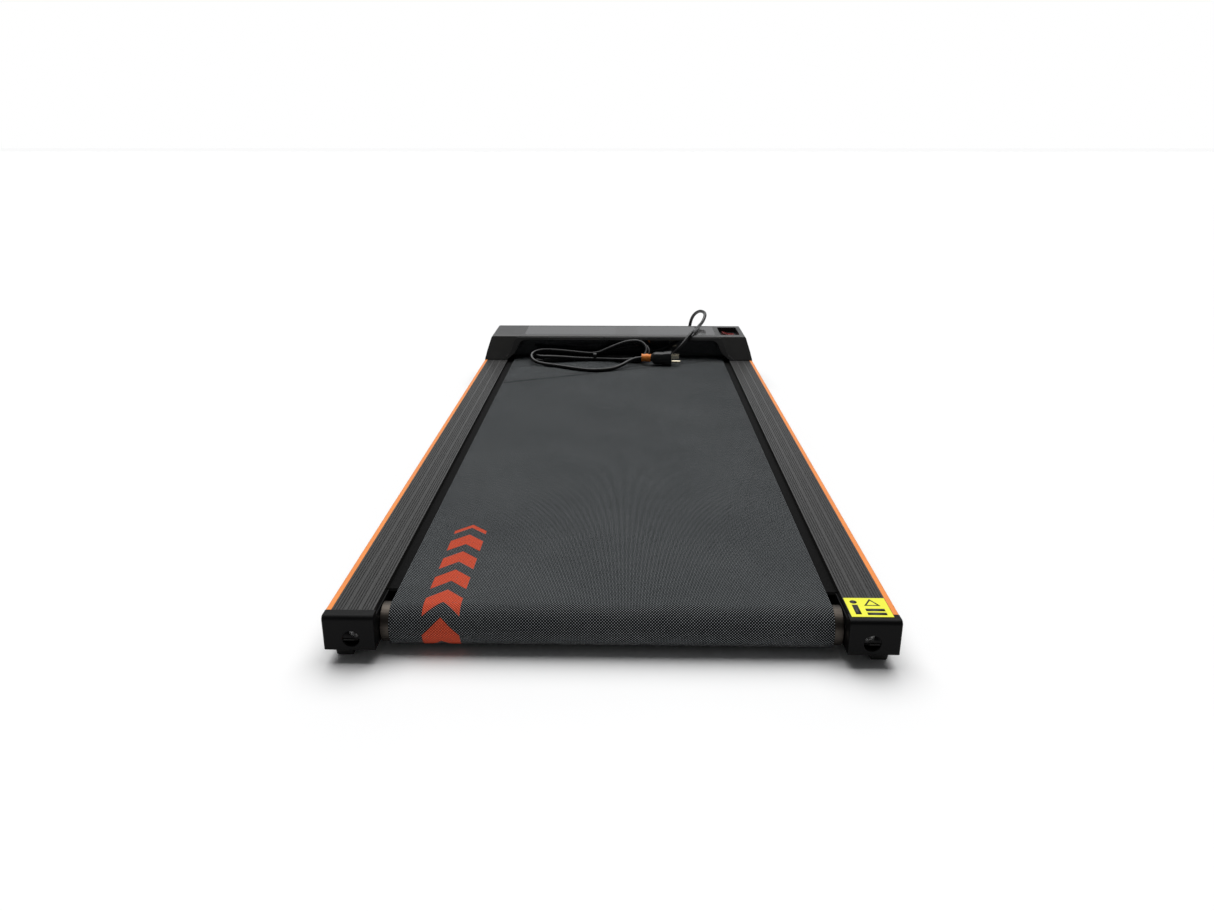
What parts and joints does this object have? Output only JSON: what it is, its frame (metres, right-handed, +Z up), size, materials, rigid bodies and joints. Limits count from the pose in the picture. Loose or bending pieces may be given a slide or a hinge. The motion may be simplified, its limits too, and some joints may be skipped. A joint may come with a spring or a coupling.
{
  "type": "treadmill",
  "caption": "Slim under-desk treadmill with a motor hood, smoked display panel, rear tensioning bolts and a bundled mains cord.",
  "frame": {"origin": "on the floor under the middle of the machine's length and width, cord left out", "axes": "+X across the machine to the walker's right, +Y along the belt towards the motor hood, +Z up"},
  "size_m": [0.51, 1.2127, 0.1137],
  "materials": {
    "frame_steel": "black powder coat",
    "deck_board": "dark laminated fibreboard",
    "cushion_rubber": "matt",
    "belt_rubber": "woven texture, worn matt",
    "rail_plastic": "ribbed, satin",
    "trim_plastic": "orange, satin",
    "cap_plastic": "moulded, satin",
    "label": "yellow film",
    "hood_plastic": "textured, satin",
    "lip_plastic": "satin",
    "guard_plastic": "glossy black",
    "panel_glass": "smoked, glossy",
    "board": "green circuit board",
    "steel": "bright steel",
    "black_oxide": "black oxide",
    "pulley_metal": "turned",
    "magnet": "ferrite",
    "windings": "lacquered copper and steel",
    "drive_rubber": "ribbed",
    "foot_rubber": "matt",
    "wheel_plastic": "matt",
    "switch_plastic": "satin",
    "rocker_red": "translucent red",
    "reset_plastic": "satin",
    "cord_pvc": "satin PVC",
    "plug_pvc": "satin PVC",
    "blade_metal": "plated",
    "capacitor_film": "sleeve"
  },
  "bodies": {
    "frame": {"side_beam_left": "frame_steel", "side_beam_right": "frame_steel", "cross_members": "frame_steel", "motor_base_plate": "frame_steel", "wheel_brackets": "frame_steel", "motor_saddles": "frame_steel", "running_deck": "deck_board", "deck_cushions": "cushion_rubber", "deck_screws": "steel", "running_belt": "belt_rubber", "side_rail_left": "rail_plastic", "side_rail_right": "rail_plastic", "trim_strip_left": "trim_plastic", "trim_strip_right": "trim_plastic", "end_cap_left": "cap_plastic", "end_cap_right": "cap_plastic", "rail_label": "label", "rear_feet": "foot_rubber", "front_feet": "foot_rubber", "hood_cover": "hood_plastic", "opening_lip": "lip_plastic", "belt_guard": "guard_plastic", "display_panel": "panel_glass", "display_board": "board", "hood_bottom_cover": "cap_plastic", "wheel_axles": "steel", "motor_can": "frame_steel", "motor_end_bells": "pulley_metal", "motor_magnets": "magnet", "drive_belt": "drive_rubber", "controller_board": "board", "heat_sink": "pulley_metal", "capacitors": "capacitor_film", "switch_pocket": "switch_plastic", "switch_body": "switch_plastic", "breaker_body": "switch_plastic", "front_axle": "steel", "front_axle_bolts": "steel", "cord_boot": "cord_pvc", "power_cord": "cord_pvc", "cord_hank": "cord_pvc", "hank_tie": "cord_pvc", "plug_body": "plug_pvc", "plug_blades": "blade_metal"},
    "drive_roller": {"front_roller_tube": "steel", "front_bearings": "steel", "drive_pulley": "pulley_metal"},
    "rear_axle": {"rear_axle": "steel"},
    "rear_roller": {"rear_roller_tube": "steel", "rear_bearings": "steel"},
    "tension_bolt_left": {"tension_bolt_left": "black_oxide"},
    "tension_bolt_right": {"tension_bolt_right": "black_oxide"},
    "motor_rotor": {"motor_armature": "windings", "motor_shaft": "steel", "motor_fan": "switch_plastic", "motor_pulley": "pulley_metal"},
    "power_rocker": {"power_rocker": "rocker_red"},
    "reset_button": {"reset_button": "reset_plastic"},
    "transport_wheel_left": {"transport_wheel_left": "wheel_plastic"},
    "transport_wheel_right": {"transport_wheel_right": "wheel_plastic"}
  },
  "joints": [
    {"name": "drive_roller_spin", "type": "hinge", "parent": "frame", "child": "drive_roller", "pos_m": [0, 0.49, 0.026], "axis": [1, 0, 0], "continuous": true},
    {"name": "rear_axle_tension", "type": "slide", "parent": "frame", "child": "rear_axle", "axis": [0, 1, 0], "range_m": [0, 0.006]},
    {"name": "rear_roller_spin", "type": "hinge", "parent": "rear_axle", "child": "rear_roller", "pos_m": [0, -0.532, 0.026], "axis": [1, 0, 0], "continuous": true},
    {"name": "tension_bolt_left_turn", "type": "hinge", "parent": "frame", "child": "tension_bolt_left", "pos_m": [-0.23, -0.547, 0.026], "axis": [0, 1, 0], "range_deg": [-2160, 0]},
    {"name": "tension_bolt_right_turn", "type": "hinge", "parent": "frame", "child": "tension_bolt_right", "pos_m": [0.23, -0.547, 0.026], "axis": [0, 1, 0], "range_deg": [-2160, 0]},
    {"name": "motor_spin", "type": "hinge", "parent": "frame", "child": "motor_rotor", "pos_m": [-0.1, 0.534, 0.054], "axis": [1, 0, 0], "continuous": true},
    {"name": "power_rocker_tilt", "type": "hinge", "parent": "frame", "child": "power_rocker", "pos_m": [0.215, 0.515, 0.076], "axis": [0, 1, 0], "range_deg": [-20, 0]},
    {"name": "reset_button_press", "type": "slide", "parent": "frame", "child": "reset_button", "axis": [0, 0, 1], "range_m": [-0.0025, 0], "stiffness_N_per_m": 400, "springref_m": 0.002},
    {"name": "transport_wheel_left_spin", "type": "hinge", "parent": "frame", "child": "transport_wheel_left", "pos_m": [-0.237, 0.545, 0.016], "axis": [1, 0, 0], "continuous": true},
    {"name": "transport_wheel_right_spin", "type": "hinge", "parent": "frame", "child": "transport_wheel_right", "pos_m": [0.237, 0.545, 0.016], "axis": [1, 0, 0], "continuous": true}
  ],
  "couplings": [
    {"joint": "rear_roller_spin", "follows": "drive_roller_spin", "ratio": 1},
    {"joint": "motor_spin", "follows": "drive_roller_spin", "ratio": 2.5714},
    {"joint": "tension_bolt_left_turn", "follows": "rear_axle_tension", "rad_per_m": -6283.2},
    {"joint": "tension_bolt_right_turn", "follows": "rear_axle_tension", "rad_per_m": -6283.2}
  ]
}
